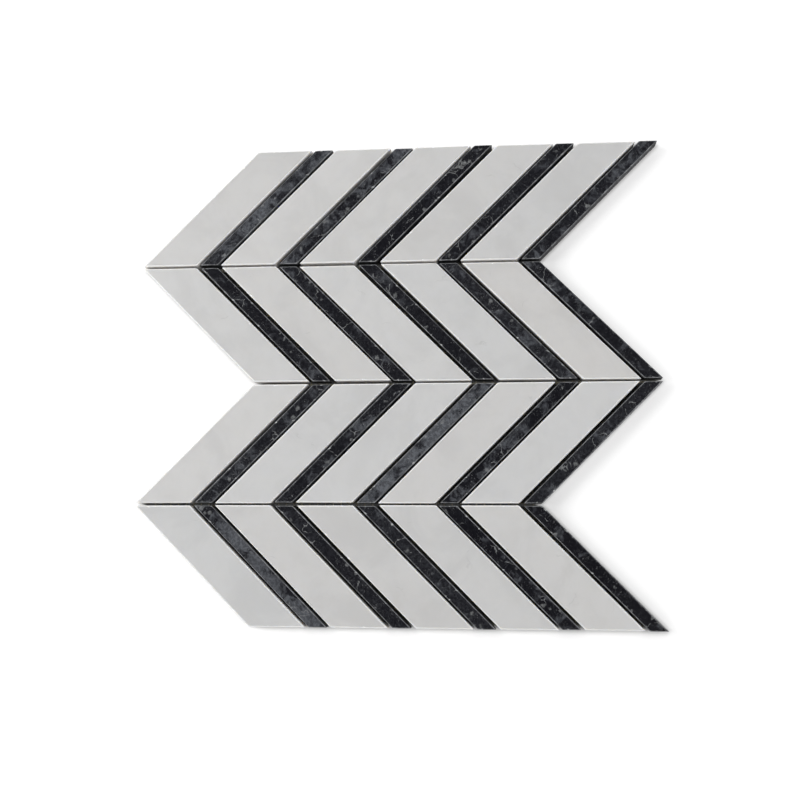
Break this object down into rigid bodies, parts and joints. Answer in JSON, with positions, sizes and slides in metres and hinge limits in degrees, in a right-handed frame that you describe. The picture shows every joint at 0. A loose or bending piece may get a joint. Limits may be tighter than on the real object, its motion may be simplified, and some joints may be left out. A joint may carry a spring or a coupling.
{
  "type": "chevron wall tile",
  "caption": "Mesh-mounted sheet of marble chevron mosaic: wide white and narrow black strips in rows that lean right and left in turn.",
  "frame": {"origin": "on the plane that the sheet lies on, below the middle of its outline", "axes": "+X along the rows, towards the side that ends in black strips; +Y across the rows, towards row 1; +Z out of the polished face"},
  "size_m": [0.3298, 0.3035, 0.0105],
  "materials": {
    "white_marble": "polished",
    "black_marble": "polished",
    "glass_fibre_net": "matte"
  },
  "bodies": {
    "root": {"white_strip_row1_1": "white_marble", "black_strip_row1_1": "black_marble", "white_strip_row1_2": "white_marble", "black_strip_row1_2": "black_marble", "white_strip_row1_3": "white_marble", "black_strip_row1_3": "black_marble", "white_strip_row1_4": "white_marble", "black_strip_row1_4": "black_marble", "white_strip_row1_5": "white_marble", "black_strip_row1_5": "black_marble", "white_strip_row2_1": "white_marble", "black_strip_row2_1": "black_marble", "white_strip_row2_2": "white_marble", "black_strip_row2_2": "black_marble", "white_strip_row2_3": "white_marble", "black_strip_row2_3": "black_marble", "white_strip_row2_4": "white_marble", "black_strip_row2_4": "black_marble", "white_strip_row2_5": "white_marble", "black_strip_row2_5": "black_marble", "white_strip_row3_1": "white_marble", "black_strip_row3_1": "black_marble", "white_strip_row3_2": "white_marble", "black_strip_row3_2": "black_marble", "white_strip_row3_3": "white_marble", "black_strip_row3_3": "black_marble", "white_strip_row3_4": "white_marble", "black_strip_row3_4": "black_marble", "white_strip_row3_5": "white_marble", "black_strip_row3_5": "black_marble", "white_strip_row4_1": "white_marble", "black_strip_row4_1": "black_marble", "white_strip_row4_2": "white_marble", "black_strip_row4_2": "black_marble", "white_strip_row4_3": "white_marble", "black_strip_row4_3": "black_marble", "white_strip_row4_4": "white_marble", "black_strip_row4_4": "black_marble", "white_strip_row4_5": "white_marble", "black_strip_row4_5": "black_marble", "net_weft": "glass_fibre_net", "net_warp": "glass_fibre_net"}
  },
  "joints": []
}
